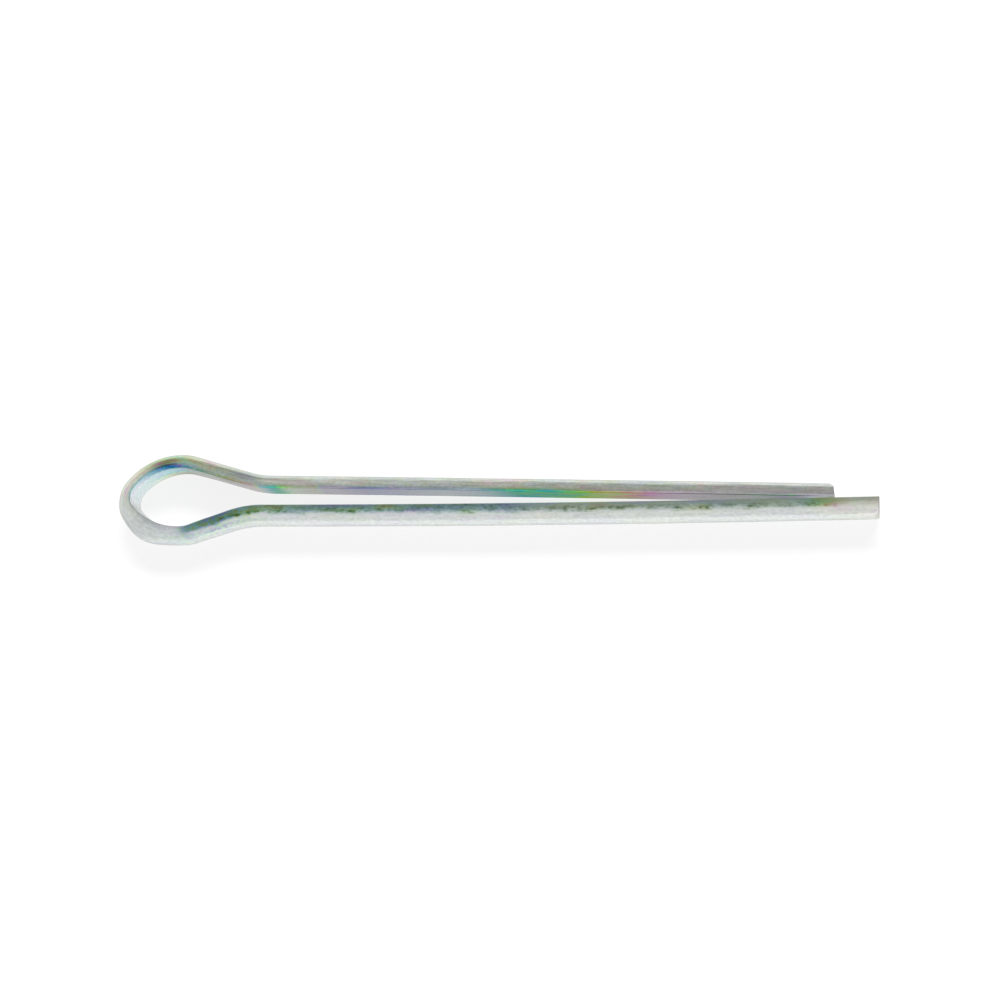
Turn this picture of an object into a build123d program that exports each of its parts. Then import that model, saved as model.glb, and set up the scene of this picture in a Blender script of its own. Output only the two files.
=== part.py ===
from build123d import *
from math import cos, exp, radians, sin, tan
import os

os.makedirs("parts", exist_ok=True)

# A cotter pin: one length of half-round wire folded flat side in, so that the
# fold makes an open eye and the two halves lie side by side as the legs.
# The pin lies on its side. +X runs from the eye to the tips, +Y from the long
# leg to the short one, and +Z out of the plane the wire is folded in.
# The origin is on the shank's axis where the legs leave the eye.

# The wire's D section: the width of the flat, the height of the crown over it,
# and the radius worn on the two rims where flat and crown meet
wire_width = 2.90
wire_thickness = 1.46
rim_radius = 0.10

# The nose of the eye: its reach back from the origin, its offset from the
# shank's axis, and the lean of the fold towards the short leg
eye_reach = 16.00
nose_offset = -0.26
nose_lean = 10.3

# The roll of the crown up out of the fold's plane all round the eye
eye_roll = -3.2

# The outside of the bend is upset where the fold runs into the long leg's side:
# extra crown height, distance from the nose along the wire, and spread
swell_height = 0.61
swell_position = 2.56
swell_spread = 2.04

# The short leg's half, from the nose to the tip. Radii are those of the flat,
# and slopes, bows and rolls are in degrees. A leg's slope is the one at its root,
# and its bow is how much that changes in one long even curve.
short_nose_radius = 1.66
short_nose_turn = 48.4
short_cheek_radius = 5.31
short_shoulder_radius = 3.57
short_flank_slope = 15.7
short_neck_radius = 9.74
short_leg_offset = 1.02
short_leg_slope = -0.65
short_leg_bow = -0.3
short_flank_roll = 2.2
short_leg_roll = 2.8
short_leg_reach = 50.8
short_cut_slant = 8.0

# The long leg's half
long_nose_radius = 1.15
long_nose_turn = 35.3
long_cheek_radius = 6.96
long_shoulder_radius = 2.55
long_flank_slope = 18.3
long_neck_radius = 11.03
long_leg_offset = 1.00
long_leg_slope = -0.2
long_leg_bow = -1.35
long_flank_roll = 7.2
long_leg_roll = 13.2
long_leg_reach = 54.8
long_cut_slant = 3.0

# Each leg ends in a short straight tip. The shears leave a small bevel on its
# crown side and a rounded end edge.
tip_length = 3.0
tip_bevel = 0.42
tip_bevel_angle = 45.0
tip_rounding = 0.07

# Spacing of the sections that carry the bends, the twist and the swell
station_spacing = 0.55


def heading(angle):
    return Vector(cos(radians(angle)), sin(radians(angle)), 0)


def draw_half(
    side,
    nose_radius,
    nose_turn,
    cheek_radius,
    shoulder_radius,
    flank_slope,
    neck_radius,
    leg_offset,
    leg_slope,
):
    # The flat's centre line from the nose to the root of the leg: two arcs round
    # the eye, a shoulder, a straight flank and the neck that turns into the leg
    start_heading = 90 + side * nose_lean
    nose = JernArc(
        start=(-eye_reach, nose_offset),
        tangent=heading(side * start_heading),
        radius=nose_radius,
        arc_size=-side * nose_turn,
    )
    cheek = JernArc(
        start=nose @ 1,
        tangent=nose % 1,
        radius=cheek_radius,
        arc_size=-side * (start_heading - nose_turn),
    )
    shoulder = JernArc(
        start=cheek @ 1,
        tangent=cheek % 1,
        radius=shoulder_radius,
        arc_size=-side * flank_slope,
    )
    neck_drop = neck_radius * (cos(radians(leg_slope)) - cos(radians(flank_slope)))
    flank_drop = side * (shoulder @ 1).Y - leg_offset - neck_drop
    flank_length = flank_drop / sin(radians(flank_slope))
    flank = Line(shoulder @ 1, (shoulder @ 1) + (shoulder % 1) * flank_length)
    JernArc(
        start=flank @ 1,
        tangent=flank % 1,
        radius=neck_radius,
        arc_size=side * (flank_slope + leg_slope),
    )


def draw_leg(root, side, slope, bow, reach):
    # The leg's centre line from its root to its straight tip: a long gentle arc
    chord = heading(side * (slope + bow / 2))
    length = (reach - tip_length - root.X) / chord.X
    JernArc(
        start=root,
        tangent=heading(side * slope),
        radius=length / radians(abs(bow)),
        arc_size=side * bow,
    )


with BuildLine() as short_half:
    draw_half(
        1,
        short_nose_radius,
        short_nose_turn,
        short_cheek_radius,
        short_shoulder_radius,
        short_flank_slope,
        short_neck_radius,
        short_leg_offset,
        short_leg_slope,
    )

with BuildLine() as long_half:
    draw_half(
        -1,
        long_nose_radius,
        long_nose_turn,
        long_cheek_radius,
        long_shoulder_radius,
        long_flank_slope,
        long_neck_radius,
        long_leg_offset,
        long_leg_slope,
    )

with BuildLine() as short_leg:
    draw_leg(short_half.wire() @ 1, 1, short_leg_slope, short_leg_bow, short_leg_reach)

with BuildLine() as long_leg:
    draw_leg(long_half.wire() @ 1, -1, long_leg_slope, long_leg_bow, long_leg_reach)


def ease(distance, start, end):
    t = min(max((distance - start) / (end - start), 0), 1)
    return t * t * (3 - 2 * t)


def half_stations(half, side, flank_roll, leg_roll):
    # Section planes from the nose to the leg's root, each with its crown height.
    # The roll changes smoothly from the cheek to the middle of the flank, and
    # again from there to the root of the leg.
    wire = half.wire()
    nose, cheek, shoulder, flank, neck = [edge.length for edge in half.edges()]
    twist_start = nose + cheek / 2
    twist_middle = nose + cheek + shoulder + flank / 2
    count = round(wire.length / station_spacing)
    stations = []
    for k in range(count + 1):
        distance = wire.length * k / count
        point = wire.position_at(distance, position_mode=PositionMode.LENGTH)
        along = wire.tangent_at(distance, position_mode=PositionMode.LENGTH)
        roll = eye_roll
        roll += (flank_roll - eye_roll) * ease(distance, twist_start, twist_middle)
        roll += (leg_roll - flank_roll) * ease(distance, twist_middle, wire.length)
        outward = Vector(-along.Y, along.X, 0) * side
        across = Vector(0, 0, 1) * cos(radians(roll)) - outward * sin(radians(roll))
        plane = Plane(origin=point, x_dir=across, z_dir=along * -side)
        from_swell = (-side * distance - swell_position) / swell_spread
        crown = wire_thickness + swell_height * exp(-(from_swell**2))
        stations.append((plane, crown))
    return stations


short_stations = half_stations(short_half, 1, short_flank_roll, short_leg_roll)
long_stations = half_stations(long_half, -1, long_flank_roll, long_leg_roll)
wire_stations = short_stations[:0:-1] + long_stations


def end_face(point, out):
    # The face that the wire ends in for now, found by its middle
    return cotter_pin.faces().sort_by_distance(point + out * wire_thickness / 2)[0]


def add_leg(leg, side, slope, bow, reach, slant):
    # The leg and its straight tip, the slanted cut of the shears across it, and
    # the bevel on the crown side
    line = leg.wire()
    sweep(end_face(line @ 0, heading(side * (slope + 90))), path=line)
    run = heading(side * (slope + bow))
    out = heading(side * (slope + bow + 90))
    length = (reach - (line @ 1).X) / run.X
    extrude(end_face(line @ 1, out), amount=length + wire_width, dir=run)
    tip = (line @ 1) + run * length
    cut = Plane(origin=tip, z_dir=heading(side * (slope + bow + slant)))
    split(bisect_by=cut, keep=Keep.BOTTOM)
    shoulder = wire_thickness - tip_bevel
    corner = tip + out * shoulder - run * shoulder * tan(radians(slant))
    bevel = Plane(origin=corner, z_dir=heading(side * (slope + bow + tip_bevel_angle)))
    split(bisect_by=bevel, keep=Keep.BOTTOM)
    flat_faces = cotter_pin.faces().filter_by(GeomType.PLANE)
    sheared_faces = flat_faces.sort_by_distance(tip + out * wire_thickness / 2)[:2]
    fillet(sheared_faces.edges(), tip_rounding)


with BuildPart() as cotter_pin:
    for plane, crown in wire_stations:
        with BuildSketch(plane):
            with BuildLine():
                Line((-wire_width / 2, 0), (wire_width / 2, 0))
                ThreePointArc((wire_width / 2, 0), (0, crown), (-wire_width / 2, 0))
            make_face()
            fillet(vertices(), rim_radius)
    loft()

    add_leg(short_leg, 1, short_leg_slope, short_leg_bow, short_leg_reach, short_cut_slant)
    add_leg(long_leg, -1, long_leg_slope, long_leg_bow, long_leg_reach, long_cut_slant)

cotter_pin.part.label = "cotter_pin"
export_step(cotter_pin.part, "parts/cotter_pin.step")
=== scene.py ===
# %% [markdown]
# # A cotter pin in bright zinc
# A cotter pin is one length of half-round steel wire. It is folded with its flat
# side in, so that the fold leaves an open eye and the two halves lie together as
# the legs. This lesson loads the pin's solid as a fixed frame, sweeps the same
# wire again as a fine mesh that can carry a finish, plates it with zinc, and sets
# it on a white table. Lengths are written in millimetres and angles in degrees.

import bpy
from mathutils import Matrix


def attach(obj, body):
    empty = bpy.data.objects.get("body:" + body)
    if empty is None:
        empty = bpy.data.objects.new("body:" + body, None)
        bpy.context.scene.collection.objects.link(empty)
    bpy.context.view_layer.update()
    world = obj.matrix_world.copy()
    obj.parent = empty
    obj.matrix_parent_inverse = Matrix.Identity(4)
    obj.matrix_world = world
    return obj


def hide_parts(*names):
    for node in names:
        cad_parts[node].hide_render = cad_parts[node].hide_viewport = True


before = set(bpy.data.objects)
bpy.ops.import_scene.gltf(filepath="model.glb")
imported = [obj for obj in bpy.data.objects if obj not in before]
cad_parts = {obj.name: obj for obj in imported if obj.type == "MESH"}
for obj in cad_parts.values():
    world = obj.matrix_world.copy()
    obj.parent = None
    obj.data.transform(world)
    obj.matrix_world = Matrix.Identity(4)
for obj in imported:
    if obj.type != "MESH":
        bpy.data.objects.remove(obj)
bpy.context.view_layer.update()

# %% [markdown]
# The next cell brings in the tools for the rest, and one factor that turns
# millimetres into metres.

# %% Millimetres and metres
from math import cos, pi, radians, sin, tan

import bpy
from mathutils import Matrix, Vector

MM = 0.001


# %% [markdown]
# The path of the wire is drawn as a maker bends it: round the nose of the eye, the
# cheek, the shoulder, along the flank, through the neck, down the faintly bowed
# leg, and on to its straight tip. A short walker keeps the bends as the knots of
# one Bezier spline. An arc of a circle needs a handle of 4/3 tan(turn / 4) radii
# at each end, so nine knots are enough for a half. The two halves differ a
# little, because the pin was folded by a quick machine.

# %% Walk along the wire
def direction(angle):
    return Vector((cos(radians(angle)), sin(radians(angle)), 0))


class Walk:
    """Arcs and straights in a chain. Each knot is [point, heading, handle before, handle after]."""

    def __init__(self, point, heading):
        self.knots = [[Vector(point), heading, 0, 0]]
        self.lengths = []

    def go(self, chord, turn, handle, length):
        point, heading = self.knots[-1][:2]
        self.knots[-1][3] = handle
        self.knots.append([point + direction(heading + turn / 2) * chord, heading + turn, handle, 0])
        self.lengths.append(length)

    def arc(self, radius, turn):
        angle = radians(abs(turn))
        self.go(2 * radius * sin(angle / 2), turn, radius * 4 / 3 * tan(angle / 4), radius * angle)

    def straight(self, length):
        self.go(length, 0, length / 3, length)

    def mirrored(self):
        flip = Vector((1, -1, 1))
        self.knots = [
            [point * flip, -heading, before, after] for point, heading, before, after in self.knots
        ]


quarter = Walk((0, 0, 0), 0)
quarter.arc(1, 90)
print("a quarter turn of radius 1 ends at", [round(value, 3) for value in quarter.knots[-1][0]])

# %% [markdown]
# Each half is walked from the nose to its tip. The long leg's half is walked as if
# it lay on the short leg's side, and is then mirrored. The flank's length follows
# from the offset of the leg, and the leg's from its reach.

# %% Walk both halves
EYE_REACH = 16.00
NOSE_OFFSET = -0.26
NOSE_LEAN = 10.3
TIP_LENGTH = 3.0
SPARE = 1.8

HALVES = {
    "short": {
        "side": 1, "nose_radius": 1.66, "nose_turn": 48.4, "cheek_radius": 5.31,
        "shoulder_radius": 3.57, "flank_slope": 15.7, "neck_radius": 9.74,
        "leg_offset": 1.02, "leg_slope": -0.65, "leg_bow": -0.3, "leg_reach": 50.8,
    },
    "long": {
        "side": -1, "nose_radius": 1.15, "nose_turn": 35.3, "cheek_radius": 6.96,
        "shoulder_radius": 2.55, "flank_slope": 18.3, "neck_radius": 11.03,
        "leg_offset": 1.00, "leg_slope": -0.2, "leg_bow": -1.35, "leg_reach": 54.8,
    },
}


def walk_half(side, nose_radius, nose_turn, cheek_radius, shoulder_radius, flank_slope,
              neck_radius, leg_offset, leg_slope, leg_bow, leg_reach):
    walk = Walk((-EYE_REACH, side * NOSE_OFFSET, 0), 90 + side * NOSE_LEAN)
    walk.arc(nose_radius, -nose_turn)
    walk.arc(cheek_radius, nose_turn - 90 - side * NOSE_LEAN)
    walk.arc(shoulder_radius, -flank_slope)
    neck_drop = neck_radius * (cos(radians(leg_slope)) - cos(radians(flank_slope)))
    walk.straight((walk.knots[-1][0].y - leg_offset - neck_drop) / sin(radians(flank_slope)))
    walk.arc(neck_radius, flank_slope + leg_slope)
    leg_run = leg_reach - TIP_LENGTH - walk.knots[-1][0].x
    leg_length = leg_run / cos(radians(leg_slope + leg_bow / 2))
    walk.arc(leg_length / radians(abs(leg_bow)), leg_bow)
    walk.straight((leg_reach - walk.knots[-1][0].x) / cos(radians(leg_slope + leg_bow)))
    walk.tip_at = sum(walk.lengths)
    walk.straight(SPARE)
    if side < 0:
        walk.mirrored()
    return walk


walks = {name: walk_half(**sizes) for name, sizes in HALVES.items()}
for name, walk in walks.items():
    print(name, "half:", len(walk.knots), "knots, tip", round(walk.tip_at, 2), "mm along the wire")

# %% [markdown]
# The short half is turned round and joined to the long one at the nose, so the
# path is one spline from tip to tip, and its shape stays editable by 17 knots.

# %% Draw the path as one spline
STEPS_PER_KNOT = 64


def draw_path(short, long):
    back = [
        [point, heading + 180, after, before]
        for point, heading, before, after in reversed(short.knots)
    ]
    nose = [*long.knots[0][:2], short.knots[0][3], long.knots[0][3]]
    knots = back[:-1] + [nose] + long.knots[1:]
    curve = bpy.data.curves.new("wire_path", "CURVE")
    curve.dimensions = "3D"
    curve.resolution_u = STEPS_PER_KNOT
    spline = curve.splines.new("BEZIER")
    spline.bezier_points.add(len(knots) - 1)
    for bezier, (point, heading, before, after) in zip(spline.bezier_points, knots):
        bezier.handle_left_type = bezier.handle_right_type = "FREE"
        bezier.co = point * MM
        bezier.handle_left = (point - direction(heading) * before) * MM
        bezier.handle_right = (point + direction(heading) * after) * MM
    path = bpy.data.objects.new("wire_path", curve)
    bpy.context.scene.collection.objects.link(path)
    return path


wire_path = draw_path(walks["short"], walks["long"])
print("path:", len(wire_path.data.splines[0].bezier_points), "knots")

# %% [markdown]
# Node trees are easier to read as arithmetic. `Signal` wraps one output socket,
# and its operators add Math nodes, so `1 - mask` or `a * b + c` writes the nodes.
# `Tree.node` adds any other node: its settings first, then its values or links.
# The same two classes serve the sweep below and the zinc later on.

# %% Write node trees as arithmetic
class Signal:
    """One output of a node. Arithmetic with it adds Math nodes to the same tree."""

    def __init__(self, tree, socket):
        self.tree = tree
        self.socket = socket

    def out(self, name):
        return Signal(self.tree, self.socket.node.outputs[name])

    def math(self, operation, *others):
        return self.tree.math(operation, self, *others)

    def __add__(self, other):
        return self.tree.math("ADD", self, other)

    def __radd__(self, other):
        return self.tree.math("ADD", other, self)

    def __sub__(self, other):
        return self.tree.math("SUBTRACT", self, other)

    def __rsub__(self, other):
        return self.tree.math("SUBTRACT", other, self)

    def __mul__(self, other):
        return self.tree.math("MULTIPLY", self, other)

    def __rmul__(self, other):
        return self.tree.math("MULTIPLY", other, self)

    def __truediv__(self, other):
        return self.tree.math("DIVIDE", self, other)

    def __neg__(self):
        return self.tree.math("MULTIPLY", self, -1)


class Tree:
    """A node tree being written."""

    def __init__(self, nodes_and_links):
        self.tree = nodes_and_links

    def node(self, kind, settings=None, values=None, output=0):
        node = self.tree.nodes.new(kind)
        for name, setting in (settings or {}).items():
            if name == "captures":
                for socket_type, label in setting:
                    node.capture_items.new(socket_type, label)
            else:
                setattr(node, name, setting)
        for name, value in (values or {}).items():
            if isinstance(value, Signal):
                self.tree.links.new(value.socket, node.inputs[name])
            else:
                node.inputs[name].default_value = value
        return Signal(self, node.outputs[output]) if node.outputs else None

    def math(self, operation, *values):
        return self.node("ShaderNodeMath", {"operation": operation}, dict(enumerate(values)))

    def ramp(self, value, low, high, to_low=0, to_high=1, soft=True):
        kind = "SMOOTHSTEP" if soft else "LINEAR"
        return self.node("ShaderNodeMapRange", {"interpolation_type": kind, "clamp": True}, {
            "Value": value, "From Min": low, "From Max": high, "To Min": to_low, "To Max": to_high,
        })

    def vector(self, x, y, z):
        return self.node("ShaderNodeCombineXYZ", None, {"X": x, "Y": y, "Z": z})

    def parts(self, vector):
        split = self.node("ShaderNodeSeparateXYZ", None, {"Vector": vector})
        return split, split.out("Y"), split.out("Z")


# %% [markdown]
# A Geometry Nodes tree sweeps the wire. Curve to Mesh gives the rows and rings,
# and a formula then puts every point of a ring on the half-round section: a crown
# arc, a small rim, the flat, and a small rim again. Map Range with Clamp on lets
# one turn round the ring run through those four pieces in order.
#
# The sizes are named inputs of the tree. It works in millimetres, and only its
# last step goes to metres, so the numbers stay easy to check.

# %% Open the sweep tree
SWEEP_SIZES = {
    "Row Spacing": 0.19, "Wire Width": 2.90, "Wire Thickness": 1.46, "Rim Radius": 0.10,
    "Nose At": walks["short"].tip_at + SPARE,
    "Swell Height": 0.61, "Swell Position": 2.56, "Swell Spread": 2.04,
    "Eye Roll": radians(-3.2), "Short Flank Roll": radians(2.2), "Short Leg Roll": radians(2.8),
    "Long Flank Roll": radians(7.2), "Long Leg Roll": radians(13.2),
    "Short Tip At": walks["short"].tip_at, "Long Tip At": walks["long"].tip_at,
    "Short Cut Slant": radians(8.0), "Long Cut Slant": radians(3.0),
    "Tip Bevel": 0.42, "Tip Rounding": 0.07, "Spare": SPARE, "Unevenness": 0.018, "Seed": 7.0,
}
for name, walk in walks.items():
    nose, cheek, shoulder, flank, neck = walk.lengths[:5]
    SWEEP_SIZES[name.title() + " Twist Start"] = nose + cheek / 2
    SWEEP_SIZES[name.title() + " Twist Middle"] = nose + cheek + shoulder + flank / 2
    SWEEP_SIZES[name.title() + " Twist End"] = nose + cheek + shoulder + flank + neck

sweep_tree = bpy.data.node_groups.new("sweep_half_round_wire", "GeometryNodeTree")
sweep_tree.interface.new_socket("Path", in_out="INPUT", socket_type="NodeSocketGeometry")
size_sockets = {
    name: sweep_tree.interface.new_socket(name, in_out="INPUT", socket_type="NodeSocketFloat")
    for name in SWEEP_SIZES
}
sweep_tree.interface.new_socket("Wire", in_out="OUTPUT", socket_type="NodeSocketGeometry")

sweep = Tree(sweep_tree)
given = sweep.node("NodeGroupInput")
size = {name: given.out(name) for name in SWEEP_SIZES}
print("sweep tree:", len(size), "sizes")

# %% [markdown]
# The path is cut into rows, and each row remembers its point, its heading and how
# far along the wire it is. Each point of the ring remembers its share of the turn.

# %% Rows and rings
RING_POINTS = 64

rows = sweep.node("GeometryNodeResampleCurve", {"mode": "LENGTH"},
                  {"Curve": given, "Length": size["Row Spacing"] * MM})
row_facts = [("FLOAT", "Distance"), ("VECTOR", "Point"), ("VECTOR", "Heading")]
rows = sweep.node("GeometryNodeCaptureAttribute", {"captures": row_facts}, {
    "Geometry": rows,
    "Distance": sweep.node("GeometryNodeSplineParameter", output="Length"),
    "Point": sweep.node("GeometryNodeInputPosition"),
    "Heading": sweep.node("GeometryNodeInputTangent"),
})
ring = sweep.node("GeometryNodeCurvePrimitiveCircle", {"mode": "RADIUS"},
                  {"Resolution": RING_POINTS, "Radius": size["Wire Width"] * MM / 2}, output="Curve")
turn_of_ring = sweep.node("GeometryNodeSplineParameter", output="Factor")
ring = sweep.node("GeometryNodeCaptureAttribute", {"captures": [("FLOAT", "Turn")]},
                  {"Geometry": ring, "Turn": turn_of_ring})
skin = sweep.node("GeometryNodeCurveToMesh", None,
                  {"Curve": rows, "Profile Curve": ring, "Fill Caps": True})
print("sweep tree:", len(sweep_tree.nodes), "nodes with the rows and the ring")

# %% [markdown]
# Distance is counted from the nose: negative on the short leg's half, positive on
# the long one. The crown is higher at one place on the long half, where the fold
# was upset against the bending tool.

# %% Where each point is along the wire
along_signed = rows.out("Distance") / MM - size["Nose At"]
along = along_signed.math("ABSOLUTE")
half_sign = along_signed.math("SIGN")
on_long = along_signed.math("GREATER_THAN", 0)


def pick(name):
    return size["Short " + name] + (size["Long " + name] - size["Short " + name]) * on_long


from_swell = (along_signed - size["Swell Position"]) / size["Swell Spread"]
crown = size["Wire Thickness"] + size["Swell Height"] * (-(from_swell * from_swell)).math("EXPONENT")
first_twist = sweep.ramp(along, pick("Twist Start"), pick("Twist Middle"))
second_twist = sweep.ramp(along, pick("Twist Middle"), pick("Twist End"))
roll = (size["Eye Roll"] + (pick("Flank Roll") - size["Eye Roll"]) * first_twist
        + (pick("Leg Roll") - pick("Flank Roll")) * second_twist)
print("sweep tree:", len(sweep_tree.nodes), "nodes with the swell and the roll")

# %% [markdown]
# The half-round section. `across` runs over the flat's width and `out` stands up
# on it towards the crown. The crown's centre and half angle follow from width and
# height, and the rims are the arcs that a small disc leaves in the two corners.

# %% Round the section
ARC_SHARE = 0.64
RIM_SHARE = 0.07

turn = 1 - ring.out("Turn")
half_width = size["Wire Width"] / 2
rim = size["Rim Radius"]
crown_radius = (crown * crown + half_width * half_width) / (2 * crown)
crown_centre = crown - crown_radius
inner_radius = crown_radius - rim
half_angle = ((rim - crown_centre) / inner_radius).math("ARCCOSINE")
on_arc = half_angle * sweep.ramp(turn, 0, ARC_SHARE, -1, 1, soft=False)
first_rim = sweep.ramp(turn, ARC_SHARE, ARC_SHARE + RIM_SHARE, soft=False)
on_flat = sweep.ramp(turn, ARC_SHARE + RIM_SHARE, 1 - RIM_SHARE, soft=False)
second_rim = sweep.ramp(turn, 1 - RIM_SHARE, 1, soft=False)
facing = on_arc + (pi - half_angle) * (first_rim + second_rim)
rim_centre = inner_radius * half_angle.math("SINE")
across = inner_radius * on_arc.math("SINE") - 2 * rim_centre * on_flat + rim * facing.math("SINE")
out = crown_centre + inner_radius * on_arc.math("COSINE") + rim * facing.math("COSINE")
print("section:", round(RING_POINTS * ARC_SHARE), "of", RING_POINTS, "points of a ring on the crown")

# %% [markdown]
# The shears cut each tip at a slant and leave a bevel on the crown. Both are
# planes over the section, and Smooth Minimum joins them as a soft edge. Over the
# last millimetre the rows lean into that cut. The spare rows past the tip close
# the end: the first ones round its edge, and the rest shrink to the middle of the
# end face.

# %% Shear the tips
ROUND_SHARE = 0.35
LEAD = 1.0
LAST_RING = 0.02

tip_at = pick("Tip At")
rounding = size["Tip Rounding"]
past_tip = sweep.ramp(along, tip_at, tip_at + size["Spare"], soft=False)
edge_angle = sweep.ramp(past_tip, 0, ROUND_SHARE, 0, pi / 2, soft=False)
inset = rounding * (1 - edge_angle.math("COSINE")) / half_width
shrink = 1 - inset - (1 - inset - LAST_RING) * sweep.ramp(past_tip, ROUND_SHARE, 1, soft=False)
across = across * shrink
out = crown / 2 + (out - crown / 2) * shrink
bevel_foot = size["Wire Thickness"] - size["Tip Bevel"]
slant = pick("Cut Slant").math("TANGENT")
end_cut = tip_at - out * slant
bevel_cut = tip_at - bevel_foot * slant - (out - bevel_foot)
cut = end_cut.math("SMOOTH_MIN", bevel_cut, rounding)
lead_in = sweep.ramp(along, tip_at - LEAD, tip_at, soft=False)
sheared = (along.math("MINIMUM", tip_at - LEAD) + lead_in * (cut - rounding - tip_at + LEAD)
           + rounding * edge_angle.math("SINE"))
print("sweep tree:", len(sweep_tree.nodes), "nodes with the sheared tips")

# %% [markdown]
# Drawn wire is never quite even. Two noises move the skin in and out by hundredths
# of a millimetre: long waves from the straightening rolls, and shallow dimples.
# They bend the reflections far more than the outline.
#
# Then each point goes to its place: along the row's heading, out from its path
# and up. Its address on the wire is stored, because the finish follows the wire.

# %% Put the skin in place
WAVE_STEPS = (5.0, 1.6, 1.6)
WAVE_STRENGTH = 2.0
DIMPLE_STEPS = (0.9, 0.5, 0.5)
DIMPLE_STRENGTH = 0.5

address = sweep.vector(half_sign * sheared, across, out)


def skin_noise(step, strength, seed_step):
    scaled = sweep.node("ShaderNodeVectorMath", {"operation": "DIVIDE"}, {0: address, 1: step})
    noise = sweep.node("ShaderNodeTexNoise", {"noise_dimensions": "4D"},
                       {"Vector": scaled, "W": size["Seed"] + seed_step, "Scale": 1.0, "Detail": 1.0})
    return (noise - 0.5) * strength * size["Unevenness"]


wave = skin_noise(WAVE_STEPS, WAVE_STRENGTH, 0) + skin_noise(DIMPLE_STEPS, DIMPLE_STRENGTH, 10)
wave_across = across + wave * facing.math("SINE")
wave_out = out + wave * facing.math("COSINE")
level = wave_out * roll.math("COSINE") - wave_across * roll.math("SINE")
height = wave_out * roll.math("SINE") + wave_across * roll.math("COSINE")
heading_x, heading_y, _ = sweep.parts(rows.out("Heading"))
point_x, point_y, point_z = sweep.parts(rows.out("Point"))
slide = half_sign * (sheared - along)
place = sweep.vector(
    point_x + (heading_x * slide + heading_y * level) * MM,
    point_y + (heading_y * slide - heading_x * level) * MM,
    point_z + height * MM,
)
skin = sweep.node("GeometryNodeStoreNamedAttribute",
                  {"data_type": "FLOAT_VECTOR", "domain": "POINT"},
                  {"Geometry": skin, "Name": "wire_address", "Value": address})
skin = sweep.node("GeometryNodeSetPosition", None, {"Geometry": skin, "Position": place})
skin = sweep.node("GeometryNodeSetShadeSmooth", None, {"Geometry": skin, "Shade Smooth": True})
print("sweep tree:", len(sweep_tree.nodes), "nodes with the skin in place")

# %% [markdown]
# The tree ends in Realize Instances and Set Material. The evaluated object is
# turned into a plain mesh, and the path and its modifier are removed.

# %% Sweep the wire
zinc = bpy.data.materials.new("bright_zinc")
skin = sweep.node("GeometryNodeRealizeInstances", None, {"Geometry": skin})
skin = sweep.node("GeometryNodeSetMaterial", None, {"Geometry": skin, "Material": zinc})
sweep.tree.links.new(skin.socket, sweep.tree.nodes.new("NodeGroupOutput").inputs["Wire"])

modifier = wire_path.modifiers.new("sweep", "NODES")
modifier.node_group = sweep_tree
for name, value in SWEEP_SIZES.items():
    modifier[size_sockets[name].identifier] = float(value)
graph = bpy.context.evaluated_depsgraph_get()
swept = bpy.data.meshes.new_from_object(
    wire_path.evaluated_get(graph), preserve_all_data_layers=True, depsgraph=graph
)
bpy.data.objects.remove(wire_path)
pin = bpy.data.objects.new("pin", swept)
bpy.context.scene.collection.objects.link(pin)
print("pin:", len(swept.vertices), "points,", len(swept.polygons), "faces, attributes",
      [attribute.name for attribute in swept.attributes])

# %% [markdown]
# A closed mesh whose faces point outwards has a positive volume.

# %% Check the skin
import bmesh


def check_closed(mesh):
    check = bmesh.new()
    check.from_mesh(mesh)
    volume = check.calc_volume(signed=True)
    loose = sum(1 for edge in check.edges if len(edge.link_faces) != 2)
    check.free()
    return volume, loose


pin_volume, open_edges = check_closed(swept)
print("volume", round(pin_volume / MM**3, 1), "mm3, open edges", open_edges)

# %% [markdown]
# The finish is bright zinc under a clear passivation film, a few tenths of a micron
# thick. Light comes back from the top of the film and from the zinc under it, and
# the two waves add or cancel, as on a soap bubble. The film holds no dye: its
# colour follows its thickness, and its thickness follows how the bath ran off the
# wire and dried. A painted map could show that, but a formula that follows the
# wire stays sharp and says where each colour comes from.
#
# This cell reads the address that the sweep stored, in millimetres along the
# wire from the nose, across the flat, and out from it. The crown angle is 0 on top
# of the crown and 90 at its upper rim, and the rim distance grows from that rim
# both over the crown and down the flat.

# %% Read the address on the wire
NOSE_BLEND = 0.7
FLAT_EDGE = (0.03, 0.12)

zinc.use_nodes = True
zinc.node_tree.nodes.clear()
plate = Tree(zinc.node_tree)

place = plate.node("ShaderNodeAttribute", {"attribute_name": "wire_address"}, output="Vector")
along_signed, across, out = plate.parts(place)
from_nose = along_signed.math("ABSOLUTE")
on_long = plate.ramp(along_signed, -NOSE_BLEND, NOSE_BLEND)
on_short = 1 - on_long
crown_angle = across.math("ARCTAN2", out) * (180 / pi)
on_flat = 1 - plate.ramp(out, *FLAT_EDGE)
on_crown = 1 - on_flat
below_rim = SWEEP_SIZES["Wire Width"] / 2 - across
rim_distance = (out * out + below_rim * below_rim).math("SQRT")
print("zinc:", len(zinc.node_tree.nodes), "nodes read the address")

# %% [markdown]
# What happened to the wire is stretched along it: it was pulled through a die, and
# the bath ran down it. So each noise has its own step in millimetres along, across
# and out, and Map Range spreads its middle to 0 and 1.

# %% Noises that follow the wire
NOISE_MIDDLE = (0.34, 0.66)
CLOUD_STEPS = (6.0, 1.2, 1.2)
PATCH_STEPS = (1.5, 0.6, 0.6)
MOTTLE_STEPS = (0.38, 0.24, 0.24)
LINE_STEPS = (2.8, 0.20, 0.20)


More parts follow.
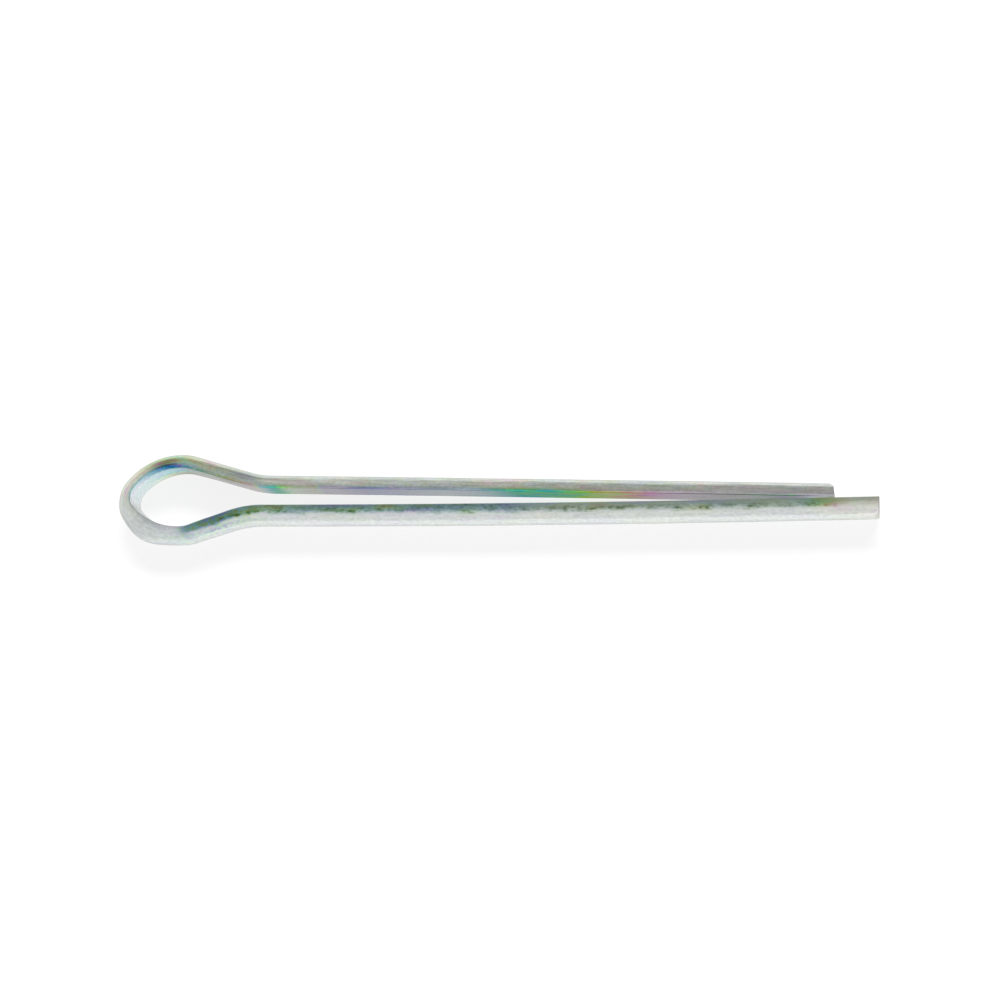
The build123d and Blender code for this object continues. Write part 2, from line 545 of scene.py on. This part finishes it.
def wire_noise(steps, seed, detail=2.0):
    scaled = plate.node("ShaderNodeVectorMath", {"operation": "DIVIDE"}, {0: place, 1: steps})
    noise = plate.node("ShaderNodeTexNoise", {"noise_dimensions": "4D"},
                       {"Vector": scaled, "W": seed, "Scale": 1.0, "Detail": detail})
    return plate.ramp(noise, *NOISE_MIDDLE, soft=False)


clouds = wire_noise(CLOUD_STEPS, seed=1.0)
patches = wire_noise(PATCH_STEPS, seed=2.0)
mottle = wire_noise(MOTTLE_STEPS, seed=3.0)
drawn_lines = wire_noise(LINE_STEPS, seed=4.0, detail=3.0)
print("zinc:", len(zinc.node_tree.nodes), "nodes with the noises")

# %% [markdown]
# The rest of the finish is said by place. `bell` is 1 at a middle and falls away on
# both sides of it, and `near` is a bell along the wire. `past` rises from 0 to 1
# over a stretch of the wire, and `fade` takes a share away over one. Those three
# count millimetres from the nose. `around` turns a noise into a swing about zero.
#
# A few places come back in many formulas, so they get their names here. `high_flat`
# and `low_flat` are the flat's two edges where it bends round the shoulder of the
# eye, and `by_rim` is the flat together with the rim above it.

# %% Say where on the wire
def bell(value, middle, spread):
    offset = (value - middle) / spread
    return (-(offset * offset)).math("EXPONENT")


def near(middle, spread):
    return bell(from_nose, middle, spread)


def past(start, end):
    return plate.ramp(from_nose, start, end)


def fade(share, start, end):
    return 1 - share * past(start, end)


def around(noise, width):
    return (noise - 0.5) * width


near_eye = near(9.5, spread=4.2)
near_shoulder = near(6.0, spread=3.0)
high_edge = plate.ramp(across, 0.50, 0.95)
low_edge = plate.ramp(across, -0.4, -0.9)
high_flat = on_flat * high_edge * near(5.5, spread=2.9) * (0.7 + 0.5 * patches)
low_flat = on_flat * low_edge * near_shoulder
by_rim = plate.ramp(crown_angle, 70, 86).math("MAXIMUM", on_flat)
print("zinc:", len(zinc.node_tree.nodes), "nodes with the places")

# %% [markdown]
# The film's thickness is counted in orders: how many waves of green light fit in
# the double path through it. From 1.5 up, the orders run violet, blue, teal,
# green, yellow, orange, pink, and violet again. The film thickens along the short
# half from the eye to the tip, with a drop at each end of the neck where the bath
# let go, so those colours follow each other down the leg. `STRETCHES` lists where
# it thickens, from and to, and by how many orders in a millimetre.

# %% How thick the film is on the short half
FIRST_ORDER = 1.76
LAST_ORDER = 2.70
STRETCHES = ((6, 20, 0.070), (24, 80, 0.016), (44, 80, 0.038))
DROPS = ((14.3, 0.61), (20.4, 0.55))
DROP_LENGTH = 1.0
LOW_EDGE_RISE = 0.35
HIGH_EDGE_FALL = 0.08
CROWN_ORDER = 2.02


def uneven(order, by_clouds, by_patches):
    return order + around(clouds, by_clouds) + around(patches, by_patches)


order = FIRST_ORDER + near_shoulder * (LOW_EDGE_RISE * low_edge - HIGH_EDGE_FALL * high_edge)
for start, end, gain in STRETCHES:
    order = order + gain * (from_nose.math("MAXIMUM", start).math("MINIMUM", end) - start)
for drop_at, drop in DROPS:
    order = order - drop * past(drop_at - DROP_LENGTH / 2, drop_at + DROP_LENGTH / 2)
order = order.math("MINIMUM", LAST_ORDER)
flat_order = uneven(order, by_clouds=0.12, by_patches=0.10)
flat_order = flat_order + around(mottle, 0.24) * near(7.5, spread=4.5)
crown_order = uneven(CROWN_ORDER, by_clouds=0.5, by_patches=0.4)
short_order = by_rim * flat_order + (1 - by_rim) * crown_order
print("short half: orders", FIRST_ORDER, "to", LAST_ORDER, "with", len(DROPS), "drops")

# %% [markdown]
# On the long half the film has nearly one thickness, and the noises vary it. It
# thickens only at the tip, where the last of the bath hung.

# %% How thick it is on the long half
LONG_ORDER = 1.81
LONG_RISE = 0.001
LONG_TIP_RISE = 0.27
LONG_TIP = (65, 69)

long_order = uneven(LONG_ORDER, by_clouds=0.36, by_patches=0.18) + around(mottle, 0.5) * near_eye
long_order = long_order + LONG_RISE * from_nose + LONG_TIP_RISE * past(*LONG_TIP)
film_order = on_short * short_order + on_long * long_order
print("zinc:", len(zinc.node_tree.nodes), "nodes with the film's thickness")

# %% [markdown]
# How far the two waves disturb each other depends on how clear and even the film
# is. It is strongest on the short half's flat and inner rim, above all at the few
# places where the bath hung as a drop. `HUNG_DROPS` lists those: distance from the
# nose, spread and strength. The colours are weak on the crown, which rubbed against
# other pins in the barrel, except where the wire bends round the eye's shoulder.

# %% How strong the colours are on the short half
HUNG_DROPS = (
    (5.6, 2.4, 0.30),
    (16.1, 1.2, 0.68),
    (26.0, 4.0, 0.20),
    (42.5, 5.4, 1.10),
    (50.5, 2.8, 0.46),
    (64.5, 3.0, 0.50),
)
CLEAR_EVERYWHERE = 0.08
CLEAR_IN_CLOUDS = 0.12
CLEAR_HIGH_FLAT = 0.42
CLEAR_RIM = 0.20
CLEAR_NECK_RIM = 0.36
RIM_LINE_WIDTH = 0.22
DULL_LOW_FLAT = 0.6
RUBBED_RIM = 0.15
RUBBED_LEG_RIM = 0.60
CROWN_EVERYWHERE = 0.05
CROWN_IN_PATCHES = 0.16
CROWN_BEND = 0.40
STRONGEST = 0.97

rim_line = bell(rim_distance, 0, RIM_LINE_WIDTH) * (0.3 + patches) * fade(0.7, 54, 62)
clear = CLEAR_EVERYWHERE + CLEAR_IN_CLOUDS * clouds + CLEAR_HIGH_FLAT * high_flat
clear = clear + (CLEAR_RIM + CLEAR_NECK_RIM * near(11, spread=3.5)) * rim_line
for hung_at, spread, strength in HUNG_DROPS:
    clear = clear + strength * near(hung_at, spread)
clear = clear * (1 - DULL_LOW_FLAT * low_flat)
rubbed = RUBBED_RIM + RUBBED_LEG_RIM * past(36, 48)
clear = clear * (1 - on_crown * rubbed)
bend_side = 0.3 + 0.7 * plate.ramp(crown_angle, 30, 55)
crown_clear = CROWN_EVERYWHERE + CROWN_IN_PATCHES * patches * fade(0.7, 54, 60)
crown_clear = crown_clear + CROWN_BEND * near(5.6, spread=3.4) * bend_side
short_strength = (by_rim * clear + (1 - by_rim) * crown_clear).math("MINIMUM", STRONGEST)
print("short half:", len(HUNG_DROPS), "places where a drop hung")

# %% [markdown]
# Along the upper side of the long half the bath drained last. There the film's
# colours are stronger, with a ragged edge and a few brown blots, and the same band
# is painted shade, darker for the dark ceiling that this side mirrors. Beside it,
# near the eye, the crown shows pale patches of colour.

# %% How strong they are on the long half
BAND_ANGLES = (47, 68)
BAND_START = (5.4, 6.8)
BAND_TIP_FADE = 0.8
RAGGED_BY_PATCHES = 9
RAGGED_BY_GRAIN = 6
RAGGED_NEAR_EYE = 3
BLOT_EDGE = (0.30, 0.65)
SMOKE_STRENGTH = 0.46
EYE_SMOKE = 0.14
BLOT_STRENGTH = 0.30
LEG_WEAKENING = 0.20
TIP_STRENGTHENING = 0.36
PALE_EVERYWHERE = 0.06
PALE_PATCHES = 0.42

ragged = crown_angle + around(patches, RAGGED_BY_PATCHES) + around(mottle, RAGGED_BY_GRAIN)
ragged = ragged + around(drawn_lines, RAGGED_BY_GRAIN) + RAGGED_NEAR_EYE * near_eye
# The band's mask carries both the film's stronger colour and the painted shade.
film_and_shade_band = on_long * on_crown * plate.ramp(ragged, *BAND_ANGLES) * past(*BAND_START)
film_and_shade_band = film_and_shade_band * fade(BAND_TIP_FADE, 66.0, 70.2)
blots = plate.ramp(clouds * patches, *BLOT_EDGE) * bell(crown_angle, 60, spread=8) * film_and_shade_band
smoke_strength = SMOKE_STRENGTH + EYE_SMOKE * near_eye + BLOT_STRENGTH * blots
smoke_strength = smoke_strength - LEG_WEAKENING * past(36, 42) + TIP_STRENGTHENING * past(64, 67)
pale_side = plate.ramp(crown_angle, 0, 35)
pale = PALE_EVERYWHERE + PALE_PATCHES * patches * near(9.5, spread=4.0) * pale_side
long_strength = pale * (1 - film_and_shade_band) + smoke_strength * film_and_shade_band
film_strength = on_short * short_strength + on_long * long_strength
print("zinc:", len(zinc.node_tree.nodes), "nodes with the strength of its colours")

# %% [markdown]
# The interference itself: for each of three wavelengths, red, green and blue, the
# light that comes back is 1 - strength * (1 - cos(2 pi order)) / 2, with the order
# scaled to that wavelength. The wavelengths are in nanometres, and Vector Math does
# the three channels at once.

# %% Turn thickness into colour
GREEN_WAVE = 550
WAVES = (640, 545, 460)

turns = tuple(2 * pi * GREEN_WAVE / wave for wave in WAVES)
phase = plate.node("ShaderNodeVectorMath", {"operation": "SCALE"}, {0: turns, "Scale": film_order})
swing = plate.node("ShaderNodeVectorMath", {"operation": "COSINE"}, {0: phase})
half_swing = film_strength * 0.5
film = plate.node("ShaderNodeVectorMath", {"operation": "MULTIPLY_ADD"},
                  {0: swing, 1: half_swing, 2: 1 - half_swing})
print("one order in turns of red, green and blue:", [round(angle / (2 * pi), 2) for angle in turns])

# %% [markdown]
# Under the film the zinc is one silver, and each loss below is the share of its
# light that a place keeps back. On the short half the crown's shoulder and its
# sides at the neck and at the bend of the eye are painted shade, darker for the
# dark ceiling that they mirror. The flat is darker too, mostly as painted shade
# for the shaded table that it mirrors between the legs and in the eye. The
# crown's rim is darker along a thin line, and the drawing die left fine lines
# along the wire. Each shine takes a share of the flat's painted shade away again.

# %% What the short half keeps back
SHOULDER_PAINTED_SHADE = 0.19
NECK_SIDE_PAINTED_SHADE = 0.20
BEND_SIDE_PAINTED_SHADE = 0.52
RIM_LOSS = 0.24
FLAT_PAINTED_SHADE = 0.50
HIGH_FLAT_LOSS = 0.42
LOW_FLAT_PAINTED_SHADE = 0.35
LEG_FLAT_LOSS = 0.22
NECK_PAINTED_SHADE = 0.30
NECK_SHINE = 0.70
FILM_SHINE = 0.75
TIP_SHINE = 0.8
LINE_LOSS = 0.26

rim_dark = bell(rim_distance, 0.04, spread=0.17) * (0.3 + 1.2 * patches)
# Painted shade: the crown's shoulder, its side at the neck and its side at the bend of the eye are
# darkened for the darker ceiling they mirror.
crown_loss = SHOULDER_PAINTED_SHADE * bell(crown_angle, 52, spread=10) * past(5, 9)
crown_loss = crown_loss + NECK_SIDE_PAINTED_SHADE * bell(crown_angle, 49, spread=13) * near(13.5, spread=4.5)
crown_loss = crown_loss + BEND_SIDE_PAINTED_SHADE * plate.ramp(crown_angle, 40, 66) * near(5.0, spread=1.5)
crown_loss = crown_loss + RIM_LOSS * rim_dark * fade(0.8, 44, 50)
# Painted shade: the flat is darkened for the shaded table that it mirrors between the legs and in the
# eye, and more at its low edge by the eye's shoulder. About 11 mm from the nose a painted dark
# reflection is added to it.
flat_loss = FLAT_PAINTED_SHADE * past(5.5, 8.5) * (1 - NECK_SHINE * near(16.0, spread=2.0))
flat_loss = flat_loss * (1 - FILM_SHINE * short_strength) * fade(TIP_SHINE, 65, 67)
flat_loss = flat_loss + HIGH_FLAT_LOSS * high_flat
flat_loss = flat_loss + LOW_FLAT_PAINTED_SHADE * low_flat * near(6.2, spread=1.9)
flat_loss = flat_loss + LEG_FLAT_LOSS * near(59, spread=6)
flat_loss = flat_loss + NECK_PAINTED_SHADE * near(11.3, spread=2.0) * plate.ramp(across, -0.9, 0.7)
line_loss = LINE_LOSS * (1 - 0.7 * on_flat) * (1 - drawn_lines)
short_loss = on_crown * crown_loss + on_flat * flat_loss + line_loss
print("zinc:", len(zinc.node_tree.nodes), "nodes with the short half's losses")

# %% [markdown]
# On the long half the band along the upper side keeps back most, as painted shade
# for the dark ceiling it mirrors, and less along its rim on the leg. The outside
# of the bend beside the nose is painted shadow, grey where it mirrors the pin's
# shade on the table.

# %% What the long half keeps back
BAND_PAINTED_SHADE = 0.44
EYE_BAND_PAINTED_SHADE = 0.08
BLOT_LOSS = 0.18
RIM_LIGHT = 0.45
MATT_LOSS = 0.02
MATT_LINE_LOSS = 0.09
BEND_PAINTED_SHADOW = 0.24

# Painted shade: the band is darkened for the dark ceiling it mirrors.
band_painted_shade = BAND_PAINTED_SHADE + EYE_BAND_PAINTED_SHADE * near_eye + BLOT_LOSS * blots
band_painted_shade = band_painted_shade + around(patches, 0.20) + around(mottle, 0.30)
rim_light = RIM_LIGHT * plate.ramp(crown_angle, 70, 80) * past(36, 40)
long_loss = band_painted_shade * film_and_shade_band * (1 - rim_light) + MATT_LOSS + MATT_LINE_LOSS * (1 - drawn_lines)
# Painted shadow: the outside of the bend is greyed where it mirrors the pin's shade on the table.
bend_painted_shadow = BEND_PAINTED_SHADOW * bell(along_signed, 1.0, spread=2.0)
long_loss = long_loss + bend_painted_shadow * bell(crown_angle, 30, spread=15)
print("zinc:", len(zinc.node_tree.nodes), "nodes with the long half's losses")

# %% [markdown]
# The tips were sheared before plating, so their ends are rough and darker. Their
# places and slants are those of the sweep. All the losses and a fine mottle scale
# the silver, and the film colours it.

# %% The colour of the zinc
SILVER = (0.885, 0.89, 0.875)
MOST_LOSS = 0.85
MOTTLE_LOSS = 0.15
END_LOSS = 0.45
END_EDGE = (0.06, 0.02)

short_slant = tan(SWEEP_SIZES["Short Cut Slant"])
long_slant = tan(SWEEP_SIZES["Long Cut Slant"])
slant = short_slant + (long_slant - short_slant) * on_long
tip_at = walks["short"].tip_at + (walks["long"].tip_at - walks["short"].tip_at) * on_long
sheared_end = plate.ramp(from_nose + out * slant, tip_at - END_EDGE[0], tip_at - END_EDGE[1])

loss = (on_short * short_loss + on_long * long_loss).math("MINIMUM", MOST_LOSS)
kept = (1 - loss) * (1 - MOTTLE_LOSS * (1 - mottle)) * (1 - END_LOSS * sheared_end)
tinted = plate.node("ShaderNodeVectorMath", {"operation": "MULTIPLY"}, {0: film, 1: SILVER})
colour = plate.node("ShaderNodeVectorMath", {"operation": "SCALE"}, {0: tinted, "Scale": kept})
print("zinc:", len(zinc.node_tree.nodes), "nodes with its colour")

# %% [markdown]
# The short half kept its shine. The long half was rubbed matt in the barrel, most
# of all on the outside of the bend beside the nose, so it spreads the light. The
# bump is only what is too fine for the mesh: drawing lines and grain.

# %% Roughness and bump
CROWN_ROUGHNESS = 0.25
LINE_ROUGHNESS = 0.06
END_ROUGHNESS = 0.25
LONG_ROUGHNESS = 0.03
BEND_ROUGHNESS = 0.14
FLAT_SMOOTHNESS = 0.12
GRAIN_DEPTH = 0.006 * MM
LINE_DEPTH = 0.005 * MM

rough = CROWN_ROUGHNESS + LINE_ROUGHNESS * (1 - drawn_lines) + END_ROUGHNESS * sheared_end
rough = rough + on_long * (LONG_ROUGHNESS + BEND_ROUGHNESS * bell(along_signed, 2.4, spread=3.2))
rough = rough - FLAT_SMOOTHNESS * on_flat
relief = mottle * GRAIN_DEPTH + drawn_lines * LINE_DEPTH
bump = plate.node("ShaderNodeBump", None, {"Height": relief, "Distance": 1.0, "Strength": 1.0})
print("zinc:", len(zinc.node_tree.nodes), "nodes with roughness and bump")

# %% [markdown]
# A metal seen at a low angle turns white, which would wash out the colours on the
# short leg's flat. A film keeps them there, so where it is clear a second shader
# with a darker edge tint is mixed in.

# %% The finished zinc
BARE_EDGE_TINT = 0.7
FILM_EDGE_TINT = 0.36


def metal(edge_tint):
    return plate.node("ShaderNodeBsdfPrincipled", None, {
        "Base Color": colour, "Metallic": 1.0, "Roughness": rough, "Normal": bump,
        "Specular Tint": (edge_tint, edge_tint, edge_tint, 1),
    })


film_share = on_short * on_flat * short_strength
surface = plate.node("ShaderNodeMixShader", None,
                     {"Fac": film_share, 1: metal(BARE_EDGE_TINT), 2: metal(FILM_EDGE_TINT)})
plate.node("ShaderNodeOutputMaterial", None, {"Surface": surface})
print("zinc:", len(zinc.node_tree.nodes), "nodes in all")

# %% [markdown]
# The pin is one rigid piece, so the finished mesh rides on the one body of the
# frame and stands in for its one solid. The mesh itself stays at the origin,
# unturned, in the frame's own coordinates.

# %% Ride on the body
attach(pin, "root")
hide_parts("cotter_pin")
print(pin.name, "rides on root and replaces cotter_pin")

# %% [markdown]
# The pin lies on a white table, a plain square at the height of its lowest point.
# A diffuse white catches the pin's shade, but it comes out as white paper only
# where enough light falls. So some glow is mixed in: the camera sees a ground
# that is nearly white and still keeps a soft shade, and the flats of the wire,
# which mirror the table, see it almost without shade. Far from the pin the glow
# takes over, so that the table has no edge against the white behind it.

# %% Set the table
TABLE_SIDE = 1.2
TABLE_WHITE = (0.88, 0.88, 0.88, 1)
TABLE_GLOW = 1.16
GLOW_SEEN = 0.69
GLOW_MIRRORED = 0.96
FAR_FROM_PIN = (0.10, 0.30)

half_side = TABLE_SIDE / 2
table_z = min(vertex.co.z for vertex in swept.vertices)
corners = [
    (-half_side, -half_side, table_z),
    (half_side, -half_side, table_z),
    (half_side, half_side, table_z),
    (-half_side, half_side, table_z),
]
table_mesh = bpy.data.meshes.new("table")
table_mesh.from_pydata(corners, [], [(0, 1, 2, 3)])
table = bpy.data.objects.new("table", table_mesh)
bpy.context.scene.collection.objects.link(table)

white = bpy.data.materials.new("white_table")
white.use_nodes = True
white.node_tree.nodes.clear()
table.data.materials.append(white)
board = Tree(white.node_tree)
ray = board.node("ShaderNodeLightPath")
on_table = board.node("ShaderNodeTexCoord", output="Object")
distance = board.node("ShaderNodeVectorMath", {"operation": "LENGTH"}, {0: on_table}, output="Value")
glow_seen = GLOW_SEEN + (1 - GLOW_SEEN) * board.ramp(distance, *FAR_FROM_PIN)
share = ray.out("Is Camera Ray") * glow_seen + ray.out("Is Glossy Ray") * GLOW_MIRRORED
lit = board.node("ShaderNodeBsdfDiffuse", None, {"Color": TABLE_WHITE})
glow = board.node("ShaderNodeEmission", None, {"Color": (1, 1, 1, 1), "Strength": TABLE_GLOW})
both = board.node("ShaderNodeMixShader", None, {"Fac": share, 1: lit, 2: glow})
board.node("ShaderNodeOutputMaterial", None, {"Surface": both})
print("table at z =", round(table_z / MM, 3), "mm")

# %% [markdown]
# Bright metal shows little of itself and much of its room. The world stands for a
# pale studio: a darker ceiling at the back, which the upper leg's crown mirrors as
# its grey side, and pale walls to the left and behind the camera. Each part takes
# over from the ones before it between two angles, in degrees from straight up.
# Only mirrored rays see that room. Diffuse rays see one even level, and the camera
# sees white.

# %% Light the room
CEILING = 0.40
BACK_WALL = 0.72
BACK_WALL_ANGLES = (68, 105)
LEFT_WALL = 0.84
OVERHEAD = 0.76
FRONT_WALL = 0.86
EVEN_LEVEL = 0.4

world = bpy.data.worlds.new("studio")
bpy.context.scene.world = world
world.use_nodes = True
world.node_tree.nodes.clear()
air = Tree(world.node_tree)
ray = air.node("ShaderNodeLightPath")
to_right, to_back, rise = air.parts(air.node("ShaderNodeTexCoord", output="Generated"))
back_angle = to_back.math("ARCTAN2", rise) * (180 / pi)
left_angle = to_right.math("ARCTAN2", rise) * (-180 / pi)
room_parts = (
    (LEFT_WALL, left_angle, 8, 38),
    (OVERHEAD, back_angle, 20, -6),
    (FRONT_WALL, back_angle, -12, -38),
)
room = air.ramp(back_angle, *BACK_WALL_ANGLES, CEILING, BACK_WALL)
for brightness, angle, starts, full in room_parts:
    room = room + (brightness - room) * air.ramp(angle, starts, full)
glossy = ray.out("Is Glossy Ray")
seen = ray.out("Is Camera Ray")
light = seen + (1 - seen) * (glossy * room + (1 - glossy) * EVEN_LEVEL)
sky = air.node("ShaderNodeBackground", None, {"Color": (1, 1, 1, 1), "Strength": light})
air.node("ShaderNodeOutputWorld", None, {"Surface": sky})
print("world:", len(world.node_tree.nodes), "nodes")

# %% [markdown]
# A long soft box behind the pin gives the table its light, so that the shade falls
# to the front. It is hidden from mirrored rays: the room above already is what the
# metal sees, and a bright strip in it would burn out the crown.

# %% Hang the soft box
BOX_LENGTH = 0.30
BOX_WIDTH = 0.10
BOX_WATTS = 1.5
BOX_PLACE = (0.05, 0.30, 0.24)
BOX_TARGET = (0.02, 0, 0)

lamp_data = bpy.data.lights.new("soft_box", "AREA")
lamp_data.shape = "RECTANGLE"
lamp_data.size = BOX_LENGTH
lamp_data.size_y = BOX_WIDTH
lamp_data.energy = BOX_WATTS
soft_box = bpy.data.objects.new("soft_box", lamp_data)
bpy.context.scene.collection.objects.link(soft_box)
soft_box.location = BOX_PLACE
aim = Vector(BOX_TARGET) - soft_box.location
soft_box.rotation_euler = aim.to_track_quat("-Z", "Y").to_euler()
soft_box.visible_glossy = False
soft_box.visible_camera = False
print("soft box:", lamp_data.energy, "W,", round(aim.length, 2), "m away")

# %% [markdown]
# The camera was found from the outline of the pin in the picture: the focal length
# in pixels, the point where the lens axis meets the picture, and where the camera
# stands, in millimetres. It stands high over the pin, a little to its right and
# its front. The lens is that focal length, scaled from the picture's side to the
# sensor's width.

# %% Stand at the camera
PICTURE_SIDE = 1000
SENSOR_WIDTH = 36
FOCAL_LENGTH = 2200
AXIS_POINT = (488.83, 498.96)
CAMERA_PLACE = (55.066, -51.679, 196.689)
TOWARDS_CAMERA = (0.17614, -0.25130, 0.95175)
PICTURE_UP = (-0.00164, 0.96679, 0.25557)
CLIP_START = 0.01
CLIP_END = 5

camera_data = bpy.data.cameras.new("camera")
camera_data.sensor_width = SENSOR_WIDTH
camera_data.lens = SENSOR_WIDTH * FOCAL_LENGTH / PICTURE_SIDE
camera_data.shift_x = (PICTURE_SIDE / 2 - AXIS_POINT[0]) / PICTURE_SIDE
camera_data.shift_y = (AXIS_POINT[1] - PICTURE_SIDE / 2) / PICTURE_SIDE
camera_data.clip_start = CLIP_START
camera_data.clip_end = CLIP_END

backward = Vector(TOWARDS_CAMERA).normalized()
rightward = Vector(PICTURE_UP).cross(backward).normalized()
upward = backward.cross(rightward)
rotation = Matrix((rightward, upward, backward)).transposed().to_4x4()
camera = bpy.data.objects.new("camera", camera_data)
camera.matrix_world = Matrix.Translation(Vector(CAMERA_PLACE) * MM) @ rotation
bpy.context.scene.collection.objects.link(camera)
bpy.context.scene.camera = camera
bpy.context.scene.view_settings.view_transform = "Standard"
print("camera:", round(camera_data.lens, 1), "mm lens")
